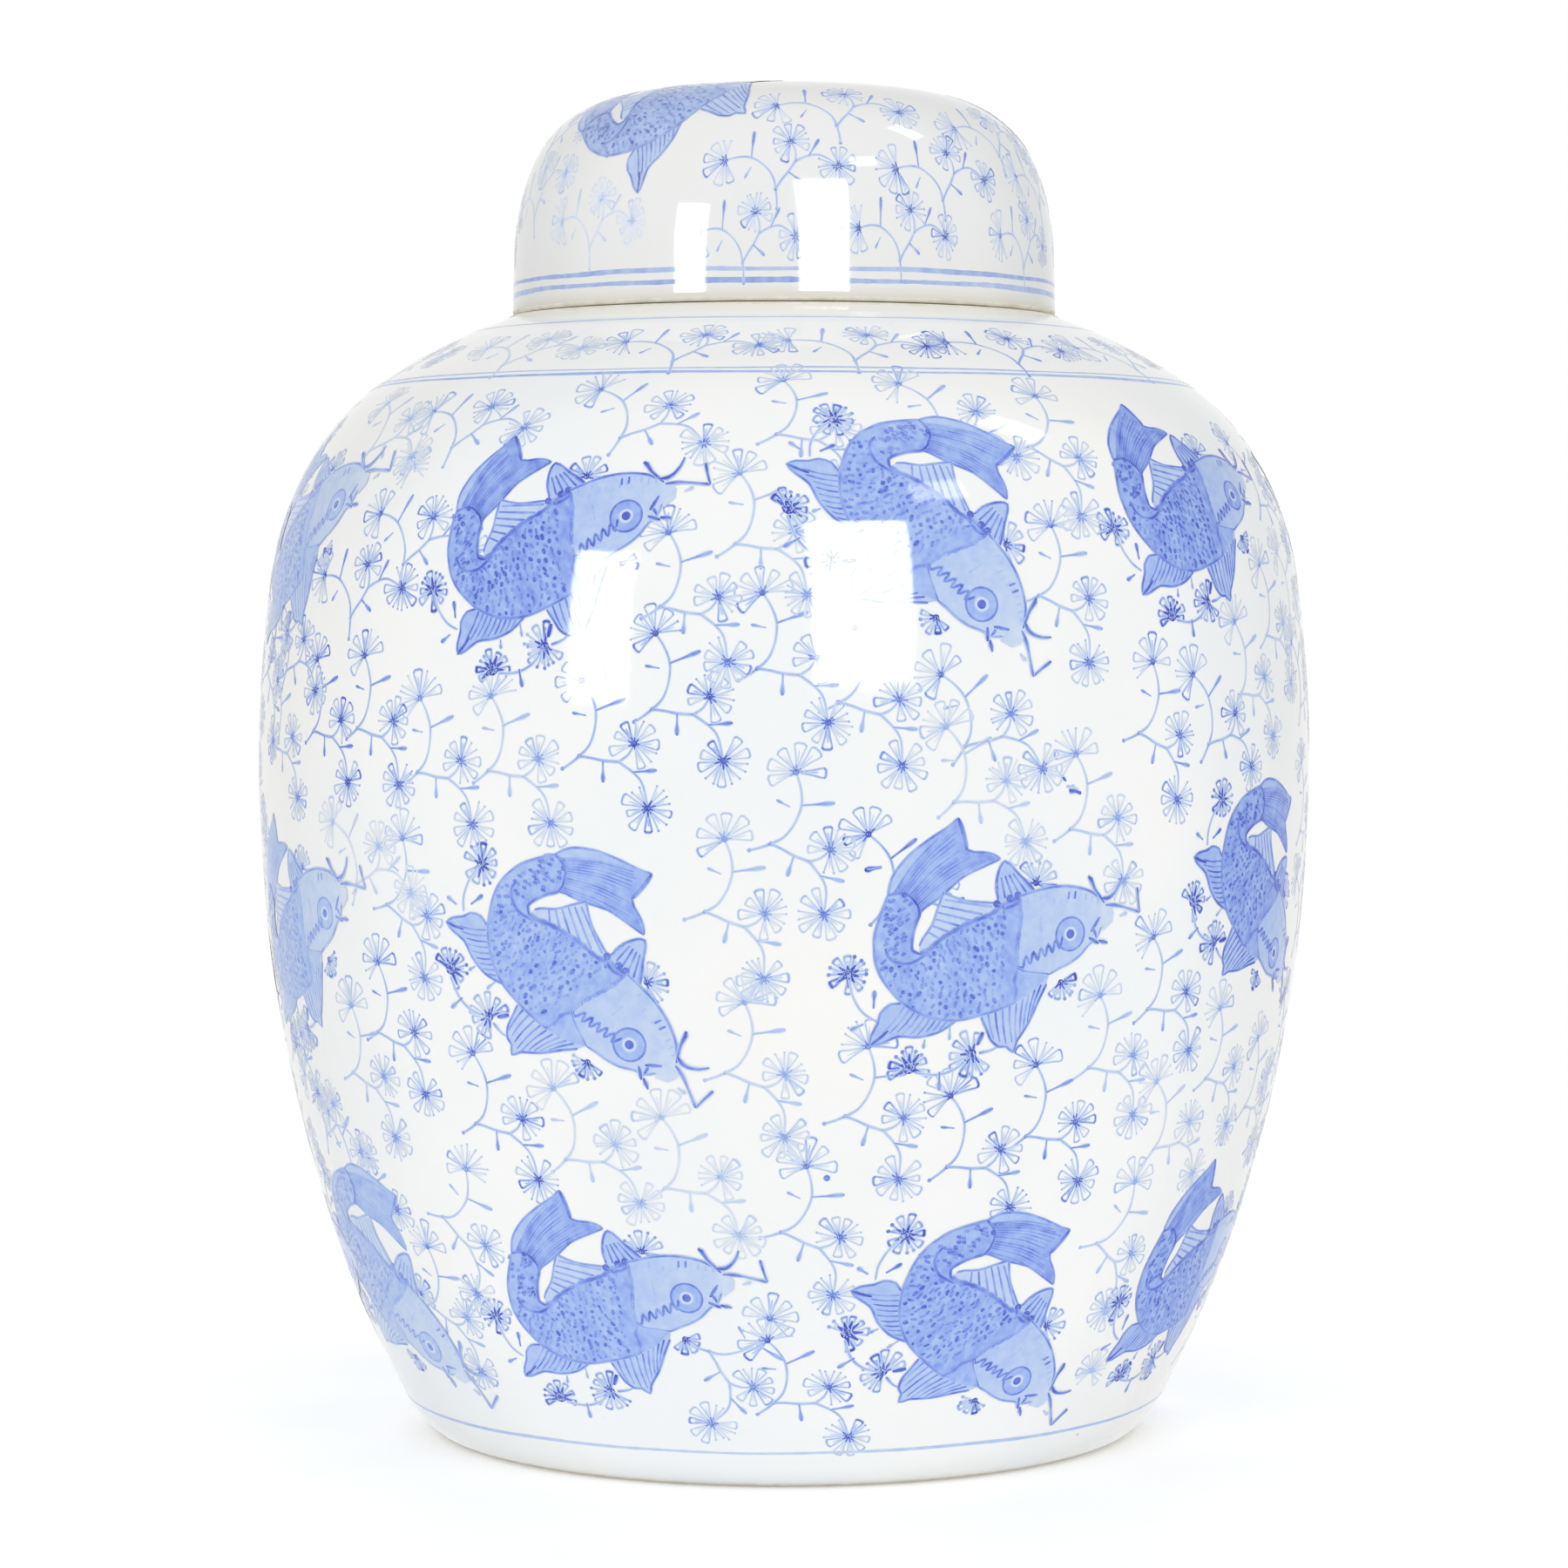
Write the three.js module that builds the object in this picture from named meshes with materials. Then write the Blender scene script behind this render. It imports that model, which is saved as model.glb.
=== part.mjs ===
// Covered ginger jar in porcelain: a full-shouldered jar on a low foot ring, and a domed cap lid
// that fits over the neck and rests on the shoulder. Lengths are millimetres, +Z is up, the jar's
// axis is the Z axis and it stands on Z = 0.

import * as THREE from 'three';

// Faceting
const ROUND_SEGMENTS = 64;
const OUTLINE_STEPS = 34;
const DOME_STEPS = 16;
const LIP_STEPS = 5;

// Jar body: the outside of the pot as [radius, height] from just above the foot to the lid seat
const BELLY_OUTLINE = [
  [83.3, 8.1],
  [95.2, 34.4],
  [105.8, 69.5],
  [112.4, 108.0],
  [114.5, 149.0],
  [112.0, 183.2],
  [107.9, 200.4],
  [100.0, 215.4],
  [88.8, 226.7],
  [73.4, 236.0],
  [60.6, 241.4],
];
const WALL = 5.6;
const FLOOR_TOP = 11.5;
const FLOOR_CORNER_RADIUS = 84.0;

// Foot ring
const FOOT_OUTER_RADIUS = 75.4;
const FOOT_EDGE_RADIUS = 79.8;
const FOOT_EDGE_HEIGHT = 3.2;
const FOOT_INNER_RADIUS = 69.0;
const FOOT_RECESS = 4.5;

// Lid seat and neck
const SEAT_HEIGHT = 242.0;
const NECK_OUTER_RADIUS = 52.4;
const NECK_INNER_RADIUS = 46.4;
const NECK_TOP = 262.0;

// Lid: a short skirt under a dome whose section is a superellipse
const LID_CLEARANCE = 0.3;
const LID_BOTTOM = SEAT_HEIGHT + LID_CLEARANCE;
const LID_TOP = 290.9;
const LID_RIM_RADIUS = 59.2;
const LID_WALL = 4.6;
const DOME_BASE = 251.9;
const DOME_RADIUS = 58.9;
const DOME_SIDE_POWER = 5.1;
const DOME_TOP_POWER = 2.2;

const JAR_GLAZE = new THREE.MeshStandardMaterial({ color: 0xf3f5f4, roughness: 0.12, metalness: 0 });
const LID_GLAZE = new THREE.MeshStandardMaterial({ color: 0xeff2f1, roughness: 0.12, metalness: 0 });

function point(radius, height) {
  return new THREE.Vector2(radius, height);
}

// Moves a curve that climbs the outside of the pot towards the axis by the wall's thickness.
function insideOf(outline, thickness) {
  return outline.map((here, i) => {
    const before = outline[Math.max(i - 1, 0)];
    const after = outline[Math.min(i + 1, outline.length - 1)];
    const along = after.clone().sub(before).normalize();
    return point(here.x - along.y * thickness, here.y + along.x * thickness);
  });
}

// Half-round lip between a wall's outer and inner radius, from outside to inside.
function lip(outerRadius, innerRadius, top) {
  const half = (outerRadius - innerRadius) / 2;
  const centre = (outerRadius + innerRadius) / 2;
  const points = [];
  for (let i = 0; i <= LIP_STEPS; i += 1) {
    const angle = (Math.PI * i) / LIP_STEPS;
    points.push(point(centre + half * Math.cos(angle), top - half + half * Math.sin(angle)));
  }
  return points;
}

function jarProfile() {
  const curve = new THREE.SplineCurve(BELLY_OUTLINE.map(([radius, height]) => point(radius, height)));
  const outside = curve.getSpacedPoints(OUTLINE_STEPS);
  const inside = insideOf(outside, WALL).filter(
    ({ x, y }) => y > FLOOR_TOP + WALL && x > NECK_INNER_RADIUS,
  );
  return [
    point(0, FOOT_RECESS),
    point(FOOT_INNER_RADIUS - FOOT_RECESS / 2, FOOT_RECESS),
    point(FOOT_INNER_RADIUS, 0),
    point(FOOT_OUTER_RADIUS, 0),
    point(FOOT_EDGE_RADIUS, FOOT_EDGE_HEIGHT),
    ...outside,
    point(LID_RIM_RADIUS + 0.6, SEAT_HEIGHT),
    point(NECK_OUTER_RADIUS, SEAT_HEIGHT),
    ...lip(NECK_OUTER_RADIUS, NECK_INNER_RADIUS, NECK_TOP),
    ...inside.reverse(),
    point(FLOOR_CORNER_RADIUS - WALL, FLOOR_TOP + WALL / 4),
    point(FLOOR_CORNER_RADIUS - 2 * WALL, FLOOR_TOP),
    point(0, FLOOR_TOP),
  ];
}

// Quarter of a superellipse, from its widest point at the base up to the axis.
function dome(radius, base, top) {
  const points = [];
  for (let i = 0; i <= DOME_STEPS; i += 1) {
    const turn = (Math.PI / 2) * (i / DOME_STEPS);
    const across = Math.max(Math.cos(turn), 0) ** (2 / DOME_SIDE_POWER);
    const up = Math.sin(turn) ** (2 / DOME_TOP_POWER);
    points.push(point(i === DOME_STEPS ? 0 : radius * across, base + (top - base) * up));
  }
  return points;
}

function lidProfile() {
  return [
    ...dome(DOME_RADIUS - LID_WALL, DOME_BASE, LID_TOP - LID_WALL).reverse(),
    point(LID_RIM_RADIUS - LID_WALL, LID_BOTTOM),
    point(LID_RIM_RADIUS, LID_BOTTOM),
    ...dome(DOME_RADIUS, DOME_BASE, LID_TOP),
  ];
}

// LatheGeometry turns about its own Y axis, so the solid is stood up on Z.
function turned(name, profile, material) {
  const geometry = new THREE.LatheGeometry(profile, ROUND_SEGMENTS);
  geometry.rotateX(Math.PI / 2);
  const mesh = new THREE.Mesh(geometry, material);
  mesh.name = name;
  return mesh;
}

const gingerJar = new THREE.Group();
gingerJar.name = 'ginger_jar';
gingerJar.add(turned('jar_body', jarProfile(), JAR_GLAZE));
gingerJar.add(turned('lid', lidProfile(), LID_GLAZE));

export default gingerJar;
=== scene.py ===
import math
import random

import bmesh
import bpy
import numpy as np
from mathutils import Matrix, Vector
from mathutils.geometry import delaunay_2d_cdt


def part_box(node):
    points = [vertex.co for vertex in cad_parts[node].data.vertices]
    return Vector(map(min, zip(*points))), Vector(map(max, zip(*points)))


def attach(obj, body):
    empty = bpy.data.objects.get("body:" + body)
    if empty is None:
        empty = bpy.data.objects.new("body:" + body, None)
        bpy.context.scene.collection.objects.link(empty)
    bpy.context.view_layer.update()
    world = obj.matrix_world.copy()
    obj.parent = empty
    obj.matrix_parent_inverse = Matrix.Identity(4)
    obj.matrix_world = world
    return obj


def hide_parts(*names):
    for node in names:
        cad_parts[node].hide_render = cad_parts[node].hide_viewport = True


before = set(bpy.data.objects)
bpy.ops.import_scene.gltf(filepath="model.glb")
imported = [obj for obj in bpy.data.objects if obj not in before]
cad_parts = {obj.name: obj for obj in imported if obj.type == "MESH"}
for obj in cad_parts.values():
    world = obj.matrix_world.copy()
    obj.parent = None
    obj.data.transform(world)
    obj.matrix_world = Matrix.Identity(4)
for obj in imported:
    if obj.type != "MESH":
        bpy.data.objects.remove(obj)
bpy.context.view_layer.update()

# A covered ginger jar in white porcelain, painted under the glaze in cobalt blue with carp and
# flowering sprigs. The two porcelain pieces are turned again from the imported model's own sections,
# smoother than its facets, and the painting is laid on their walls as thin strokes and washes.
#
# Painting is laid out in millimetres. A place on a wall is a longitude in degrees and a run: longitude
# 0 faces the front (-Y) and grows towards +X, and run is the length up the wall from its lower edge.

MM = 0.001
ON_AXIS = 1e-6

# The turned porcelain, in metres.
ROUND_STEPS = 256
OUTLINE_STEP = 1.6 * MM
CORNER_TURN = math.radians(55)
CORNER_ROUNDING = 0.9 * MM
LID_GAP = 0.3 * MM
FOOT_BARE = 0.5 * MM
FOOT_INNER_RADIUS = 0.066
SEAT_BARE = 0.5 * MM
SEAT_INNER_RADIUS = 0.0525
LID_BARE = 1.3 * MM
LID_INNER_RADIUS = 0.05

# How far the paint stands off the wall, in metres.
PAINT_LIFT = 0.02 * MM
PAINT_LAYER = 0.00006 * MM
WASH_LAYER = 0.006 * MM
CARP_LIFT = 0.02 * MM

# Lines narrower than FINE_LINE millimetres have hard edges. Wider ones bleed out by BLEED.
FINE_LINE = 0.3
BLEED = 0.1
# Ink runs from 0 for bare glaze to 1 for the darkest cobalt.
BARE_GLAZE = 0.04

# The reach either side of a spot for measuring the wall's slope, and the margin at the wall's ends.
SLOPE_REACH = 1.2
WALL_MARGIN = 0.05


# ---- outlines of the porcelain


def section(node):
    """A turned node's outline as (radius, height) points, from the axis underneath to the axis on top."""
    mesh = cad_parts[node].data
    spots = {}
    for v in mesh.vertices:
        if abs(v.co.x) < ON_AXIS and v.co.y < ON_AXIS:
            spots[v.index] = (round(abs(v.co.y), 6), round(v.co.z, 6))
    links = {}
    for a, b in (e.vertices for e in mesh.edges):
        if a in spots and b in spots and spots[a] != spots[b]:
            links.setdefault(spots[a], set()).add(spots[b])
            links.setdefault(spots[b], set()).add(spots[a])
    on_axis = sorted((p for p in links if p[0] == 0), key=lambda p: p[1])
    path = [on_axis[0]]
    seen = {path[0]}
    while True:
        following = [p for p in links[path[-1]] if p not in seen]
        if not following:
            return [Vector(p) for p in path]
        path.append(following[0])
        seen.add(following[0])


def turn_at(points, i):
    """How sharply the outline turns at point i, in radians."""
    return abs((points[i] - points[i - 1]).angle_signed(points[i + 1] - points[i]))


def smooth_run(points, step):
    """A Catmull-Rom curve through the points, sampled about every step."""
    out = []
    last = len(points) - 1
    for i in range(last):
        here, there = points[i], points[i + 1]
        before, after = points[max(i - 1, 0)], points[min(i + 2, last)]
        slope_a = (there - before) / 2
        slope_b = (after - here) / 2
        count = max(1, round((there - here).length / step))
        for k in range(count):
            t = k / count
            out.append(
                here * (2 * t**3 - 3 * t**2 + 1)
                + slope_a * (t**3 - 2 * t**2 + t)
                + there * (3 * t**2 - 2 * t**3)
                + slope_b * (t**3 - t**2)
            )
    out.append(points[last].copy())
    return out


def kept_within(points, low, high):
    """The points, none lower than low or higher than high."""
    return [Vector((p.x, min(max(p.y, low), high))) for p in points]


def rounded(points):
    """The outline with its sharp corners eased and the stretches between them made smooth."""
    corners = [i for i in range(1, len(points) - 1) if turn_at(points, i) > CORNER_TURN]
    out = []
    start = [points[0]]
    for first, i in zip([0] + corners, corners + [len(points) - 1]):
        stretch = start + points[first + 1 : i + 1]
        if i in corners:
            corner = points[i]
            back = corner - (corner - stretch[-2]).normalized() * CORNER_ROUNDING
            on = corner + (points[i + 1] - corner).normalized() * CORNER_ROUNDING
            stretch[-1] = back
            out += smooth_run(stretch, OUTLINE_STEP)
            out.append((back + on) / 4 + corner / 2)
            start = [on]
        else:
            out += smooth_run(stretch, OUTLINE_STEP)
    return kept_within(out, min(p.y for p in points), max(p.y for p in points))


class Wall:
    """The outer wall of one turned piece, from its lower outer edge up, for laying paint on."""

    def __init__(self, outline, top):
        foot = min(range(len(outline)), key=lambda i: (round(outline[i].y, 5), -outline[i].x))
        points = []
        for p in outline[foot:]:
            if p.y > top:
                break
            points.append(p)
        self.radius = np.array([p.x for p in points]) / MM
        self.height = np.array([p.y for p in points]) / MM
        steps = np.hypot(np.diff(self.radius), np.diff(self.height))
        self.run = np.concatenate([[0], np.cumsum(steps)])
        self.length = self.run[-1]

    def radius_at(self, run):
        return np.interp(run, self.run, self.radius)

    def height_at(self, run):
        return np.interp(run, self.run, self.height)

    def spot(self, longitude, run, lift):
        """Points and normals on the wall, in metres, for arrays of longitudes in radians and runs."""
        run = np.clip(run, WALL_MARGIN, self.length - WALL_MARGIN)
        r, z = self.radius_at(run), self.height_at(run)
        below, above = run - SLOPE_REACH, run + SLOPE_REACH
        out = self.height_at(above) - self.height_at(below)
        up = self.radius_at(below) - self.radius_at(above)
        size = np.hypot(out, up)
        out, up = out / size, up / size
        r, z = r + out * lift / MM, z + up * lift / MM
        points = np.stack([r * np.sin(longitude), -r * np.cos(longitude), z], -1) * MM
        normals = np.stack([out * np.sin(longitude), -out * np.cos(longitude), up], -1)
        return points, normals


def belt_place(wall, longitude, run, turn=0, size=1):
    """Lays flat (x, y) millimetres round the wall, with x level and y up it, turned anticlockwise."""
    c, s = size * math.cos(math.radians(turn)), size * math.sin(math.radians(turn))

    def place(x, y, lift):
        across, up = x * c - y * s, x * s + y * c
        there = run + up
        return wall.spot(math.radians(longitude) + across / wall.radius_at(there), there, lift)

    return place


def cap_place(wall, longitude, run, turn=0):
    """Lays flat (x, y) millimetres over a domed top, with y towards its middle."""
    c, s = math.cos(math.radians(turn)), math.sin(math.radians(turn))
    a = math.radians(longitude)
    away = wall.length - run

    def place(x, y, lift):
        across, up = x * c - y * s, x * s + y * c
        px = (away - up) * math.sin(a) + across * math.cos(a)
        py = -(away - up) * math.cos(a) + across * math.sin(a)
        return wall.spot(np.arctan2(px, -py), wall.length - np.hypot(px, py), lift)

    return place


# ---- brush


class Brush:
    """Collects one motif's strokes and washes as faces on a wall, each a hair above the last."""

    def __init__(self, place, strength=1.0):
        self.place = place
        self.strength = strength
        self.ground = BARE_GLAZE
        self.points = []
        self.normals = []
        self.inks = []
        self.faces = []
        self.lift = PAINT_LIFT
        self.count = 0

    def add(self, x, y, ink, faces):
        """Lays faces between flat points on the wall, then rises a hair for the next ones."""
        points, normals = self.place(np.asarray(x, float), np.asarray(y, float), self.lift)
        self.lift += PAINT_LAYER
        self.points.append(points)
        self.normals.append(normals)
        inks = np.minimum(np.asarray(ink, float) * self.strength, 1)
        self.inks.append(np.broadcast_to(inks, (len(points),)))
        self.faces += [tuple(i + self.count for i in f) for f in faces]
        self.count += len(points)

    def stroke(self, points, width, ink, step=0.9, ends=(0.55, 0.55)):
        """A line through the points. width is one number or one for each point."""
        widths = width if isinstance(width, (list, tuple)) else [width] * len(points)
        knots = [Vector((x, y, w)) for (x, y), w in zip(points, widths)]
        line = np.array([tuple(p) for p in smooth_run(knots, step)])
        if len(line) < 2:
            return
        along = np.gradient(line[:, :2], axis=0)
        along /= np.maximum(np.hypot(along[:, 0], along[:, 1]), 1e-9)[:, None]
        side = np.stack([-along[:, 1], along[:, 0]], -1)
        half = line[:, 2] / 2
        half[0] *= ends[0]
        half[-1] *= ends[1]
        shades = ink * self.drag(line)
        n = len(line)
        if line[:, 2].max() < FINE_LINE:
            shares, tones = (1, -1), (shades, shades)
        else:
            bleed = 1 + BLEED / np.maximum(half, 0.1)
            ground = np.full(n, self.ground)
            shares, tones = (bleed, 0.5, -0.5, -bleed), (ground, shades, shades, ground)
        rows = [line[:, :2] + side * (half * share)[:, None] for share in shares]
        faces = []
        for row in range(len(rows) - 1):
            first = row * n
            faces += [(first + i, first + n + i, first + n + i + 1, first + i + 1) for i in range(n - 1)]
        spots = np.concatenate(rows)
        self.add(spots[:, 0], spots[:, 1], np.concatenate(tones), faces)

    def drag(self, line):
        """How much colour a stroke holds along its length: uneven, and pooled at both ends."""
        gone = np.concatenate([[0], np.cumsum(np.hypot(*np.diff(line[:, :2], axis=0).T))])
        to_end = np.minimum(gone, gone[-1] - gone)
        phase = 2.3 * line[0, 0] + 1.9 * line[0, 1]
        return 0.94 + 0.11 * np.sin(0.7 * gone + phase) + 0.2 * np.exp(-to_end / 0.5)

    def drop(self, tail, head, width, ink):
        """A bud or leaf: a drop with its point at tail and its round end at head."""
        tail, head = Vector(tail), Vector(head)
        span = head - tail
        spine = [tail, tail + span * 0.42, tail + span * 0.76, head]
        widths = [width * 0.4, width * 0.42, width * 1.05, width * 0.7]
        self.stroke([tuple(p) for p in spine], widths, ink, 0.5, (0.6, 0.5))

    def dot(self, centre, radius, ink, sides=10):
        x, y = zip(centre, *circle(centre, radius, sides))
        self.add(x, y, ink, [(0, 1 + k, 1 + (k + 1) % sides) for k in range(sides)])

    def ring(self, centre, inner, outer, ink, sides=28):
        x, y = zip(*circle(centre, inner, sides), *circle(centre, outer, sides))
        faces = [(k, sides + k, sides + (k + 1) % sides, (k + 1) % sides) for k in range(sides)]
        self.add(x, y, ink, faces)

    def wash(self, outline, ink, cell=1.5):
        """A filled shape. ink is a number or a function of x and y."""
        border = [Vector(p) for p in outline]
        inside = []
        low_x, high_x = min(p.x for p in border), max(p.x for p in border)
        low_y, high_y = min(p.y for p in border), max(p.y for p in border)
        x = low_x + cell / 2
        while x < high_x:
            y = low_y + cell / 2
            while y < high_y:
                if within(border, x, y, cell * 0.35):
                    inside.append(Vector((x, y)))
                y += cell
            x += cell
        ring = list(range(len(border)))
        found, _, faces, *_ = delaunay_2d_cdt(border + inside, [], [ring], 1, 1e-5)
        xs = np.array([p.x for p in found])
        ys = np.array([p.y for p in found])
        self.add(xs, ys, ink(xs, ys) if callable(ink) else ink, faces)
        self.lift += WASH_LAYER

    def piece(self, name, body, slot):
        """Makes the collected paint one piece, which rides on a body."""
        mesh = bpy.data.meshes.new(name)
        points = np.concatenate(self.points)
        normals = np.concatenate(self.normals)
        mesh.from_pydata(points.tolist(), [], outward(self.faces, points, normals))
        mesh.attributes.new("ink", "FLOAT", "POINT").data.foreach_set("value", np.concatenate(self.inks))
        for polygon in mesh.polygons:
            polygon.use_smooth = True
        mesh.normals_split_custom_set_from_vertices(normals.tolist())
        mesh.materials.append(JAR_COBALT if body == "jar" else LID_COBALT)
        piece = added(name, mesh)
        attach(piece, body)


def circle(centre, radius, sides):
    """Points round a circle."""
    turns = [2 * math.pi * k / sides for k in range(sides)]
    return [(centre[0] + radius * math.cos(a), centre[1] + radius * math.sin(a)) for a in turns]


def added(name, data):
    """A new object in the scene."""
    thing = bpy.data.objects.new(name, data)
    bpy.context.collection.objects.link(thing)
    return thing


def outward(faces, points, normals):
    """The faces, each wound so that it faces away from the wall."""
    out = []
    for f in faces:
        a, b, c = points[f[0]], points[f[1]], points[f[2]]
        out.append(f if np.dot(np.cross(b - a, c - a), normals[f[0]]) > 0 else f[::-1])
    return out


def within(border, x, y, margin):
    """True if (x, y) lies inside the closed border and at least margin from its corners."""
    odd = False
    for a, b in zip(border, border[1:] + border[:1]):
        if (a.x - x) ** 2 + (a.y - y) ** 2 < margin**2:
            return False
        if (a.y > y) != (b.y > y) and x < (b.x - a.x) * (y - a.y) / (b.y - a.y) + a.x:
            odd = not odd
    return odd


def curve(points, step=1.0):
    """Points along a smooth open curve, as plain pairs."""
    return [(p.x, p.y) for p in smooth_run([Vector(p) for p in points], step)]


def joined(*curves):
    """One closed outline from curves laid end to end."""
    out = []
    for c in curves:
        for p in c:
            if not out or math.dist(out[-1], p) > 0.05:
                out.append(p)
    if math.dist(out[0], out[-1]) < 0.05:
        out.pop()
    return out


# ---- flowers and sprigs


def petal(b, centre, angle, half, reach, ink, line, closed):
    """A narrow wedge of two hairlines from the flower's middle, closed or dotted at the outer end."""

    def at(turn, far):
        return (centre[0] + far * math.cos(angle + turn), centre[1] + far * math.sin(angle + turn))

    for side in (-half, half):
        edge = [at(side * 0.5, 0.5), at(side * 0.8, reach * 0.6), at(side, reach)]
        b.stroke(edge, [line * 1.3, line, line], ink * 0.75)
    b.stroke([at(0, 0.5), at(half * 0.1, reach * 0.8)], [line, line * 0.7], ink * 0.6, 1.4)
    if closed:
        crown = reach * 1.07
        end = [at(-half, reach), at(-half * 0.6, crown), at(half * 0.6, crown), at(half, reach)]
        b.stroke(end, line * 1.35, ink, 0.6, (1, 1))
    else:
        for side in (-half, half):
            b.dot(at(side, reach), line * 1.1, ink, 6)


def flower(b, centre, facing, spread, reach, ink, dice, core=1.0, weight=1.0):
    """An open flower: narrow petals fanned about facing, round a small darker middle."""
    petals = max(4, round(spread / 32))
    step = spread / (petals - 1)
    bold = dice.randrange(petals)
    for k in range(petals):
        angle = math.radians(facing + step * (k - (petals - 1) / 2) + dice.uniform(-4, 4))
        far = reach * dice.uniform(0.84, 1.06)
        half = math.radians(step * dice.uniform(0.25, 0.36))
        strength = 1.15 if k == bold else dice.uniform(0.55, 0.9)
        line = (0.36 if k == bold else 0.25) * weight
        petal(b, centre, angle, half, far, min(1, ink * strength), line, k == bold or dice.random() < 0.72)
    for k in range(petals):
        a = math.radians(facing + step * (k + 0.5 - petals / 2) + dice.uniform(-8, 8))
        far = 1.5 * core * dice.uniform(0.7, 1.2)
        tip = (centre[0] + far * math.cos(a), centre[1] + far * math.sin(a))
        b.stroke([centre, tip], [0.75 * core, 0.38], ink * 1.2, 0.8)
    b.dot(centre, 0.65 * core, ink * 1.4, 9)


def sprig(b, ink, dice, size=1.0, boost=(1, 1, 1)):
    """A branching sprig: three flowers, four leaves, three dots. boost scales each flower's ink."""

    def p(x, y):
        return (x * size, y * size)

    stem = ink * 0.72
    b.dot(p(-3.6, -2.5), 0.45, ink * 0.9, 8)
    b.dot(p(0, 0), 0.5, ink, 8)
    b.dot(p(8.2, -1), 0.42, ink * 0.95, 8)
    b.stroke([p(-3.6, -2.5), p(-1.8, -1.4), p(0, 0)], [0.5 * size, 0.45, 0.6], stem)
    upright = [p(0, 0), p(2, 2), p(3.2, 5.2), p(3.4, 9), p(2.2, 12.2), p(0.4, 14.8)]
    b.stroke(upright, [0.6, 0.45, 0.42, 0.5, 0.4, 0.4], stem)
    b.drop(p(3.4, 9), p(9.5, 11.4), 0.95 * size, ink)
    b.drop(p(1.4, 8), p(-1.6, 8.5), 0.6 * size, ink * 0.9)
    b.stroke([p(0, 0), p(2.5, -0.3), p(5, -0.8), p(8.2, -1)], [0.6, 0.5, 0.6, 0.6], stem)
    b.stroke([p(8.2, -1), p(10.2, 0.4), p(11.4, 2.5)], [0.6, 0.42, 0.4], stem)
    b.drop(p(5, -0.8), p(5, -5.1), 0.95 * size, ink)
    b.stroke([p(8.2, -1), p(11.5, -3.3), p(13.2, -5.6), p(14.1, -10)], [0.6, 0.45, 0.42, 0.4], stem)
    b.drop(p(11.1, -3), p(16, -2.6), 0.9 * size, ink)
    flower(b, p(0.4, 14.8), 120, 200, 5.5 * size, ink * boost[0], dice, size)
    flower(b, p(11.4, 2.5), 60, 270, 4.6 * size, ink * boost[1], dice, size)
    flower(b, p(14.1, -10), -90, 290, 4.8 * size, ink * boost[2], dice, size)


# ---- carp


# The carp's outlines, in millimetres, with its head to the right.
TAIL_OUTER = [(-25.2, 9.5), (-24.5, 13), (-21.5, 17), (-17, 20.5), (-13, 23), (-11.3, 24.5)]
TAIL_END = [(-11.3, 24.5), (-10.2, 21.2), (-9.5, 18.3), (-8, 17.7), (-6, 17.6), (-4, 17.2), (-2.3, 16.3)]
TAIL_INNER = [(-2.3, 16.3), (-6, 14.8), (-10, 13), (-13, 10.5), (-15.5, 8.5), (-18, 6.8), (-19.3, 5.4)]
STALK_OUTER = [(-27.7, -1), (-27.6, 2), (-26.5, 6), (-25.2, 9.5)]
STALK_INNER = [(-19.3, 7.5), (-18.8, 6), (-19.8, 3), (-20.2, 0), (-20, -1.5), (-18.5, -2.2)]
STALK_TOP = [(-25.2, 9.5), (-23, 9.9), (-21, 9.4), (-19.3, 7.5)]
STALK_FOLD = [(-25.4, -1), (-24.8, -2.6), (-23, -3.8), (-20.5, -4), (-18, -2.8), (-16, -1), (-14.5, 0.5)]
BACK = [(-18.5, -2.2), (-16.5, -1.2), (-14.5, 0.5), (-11.5, 2.3), (-8, 4), (-4, 5.4), (-1.5, 7), (2, 8.6)]
COLLAR = [(2, 8.6), (2.5, 5), (2.2, 1), (1.9, -3), (2.3, -5.5), (1.7, -8), (2.2, -10), (2, -12.5)]
BELLY = [
    (-27.7, -1), (-27.2, -4), (-25.8, -7), (-23.8, -9.5), (-21.5, -11.8), (-18, -14), (-14, -15.3),
    (-10, -15.6), (-6, -14.9), (-2, -13.9), (2, -12.5),
]
CHEST = [(2, -12.5), (5.5, -10.7), (8, -8.5), (9.5, -7)]
DORSAL_TIPS = [(-14.1, 9.9), (-10, 8.3), (-6, 7.8), (-3, 7.6)]
DORSAL_END = [(-14.1, 9.9), (-15.2, 6.5), (-16.2, 3.5), (-18, 0.8), (-18.6, -0.6)]
CREST = [(-3.4, 7.2), (-2.6, 8.6), (-3, 10.5), (-2.8, 13), (-1.3, 15.8), (2, 13), (4.5, 10.8), (5.5, 9.6)]
HEAD = [
    (2, 8.8), (4, 9.3), (8, 10.2), (12, 10.5), (16, 10), (19, 9), (21.5, 7.4), (22.3, 6), (22.5, 4),
    (21.5, 2), (20.5, 0), (18.5, -1.5), (16.5, -3.5), (14, -5), (11.5, -6), (9.5, -7),
]
JAW = [(9.5, -7), (6.5, -6.6), (3.8, -6.2), (2.2, -5.5)]
PELVIC = [
    (-21.8, -12), (-24, -12.2), (-25.8, -14), (-26.2, -16), (-27.3, -18.3), (-27.5, -20.3), (-25, -19.8),
    (-22, -18.6), (-18, -18.8), (-14, -18), (-11.3, -16.4), (-10.2, -15.6),
]
PECTORAL = [
    (-5, -15.2), (-3.8, -17.5), (-2.5, -20), (-0.8, -21.3), (0.8, -21.3), (2.4, -22.5), (3, -20.5),
    (5.5, -16.5), (7.5, -12), (9, -9),
]
EYE = (14, 0.9)
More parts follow.
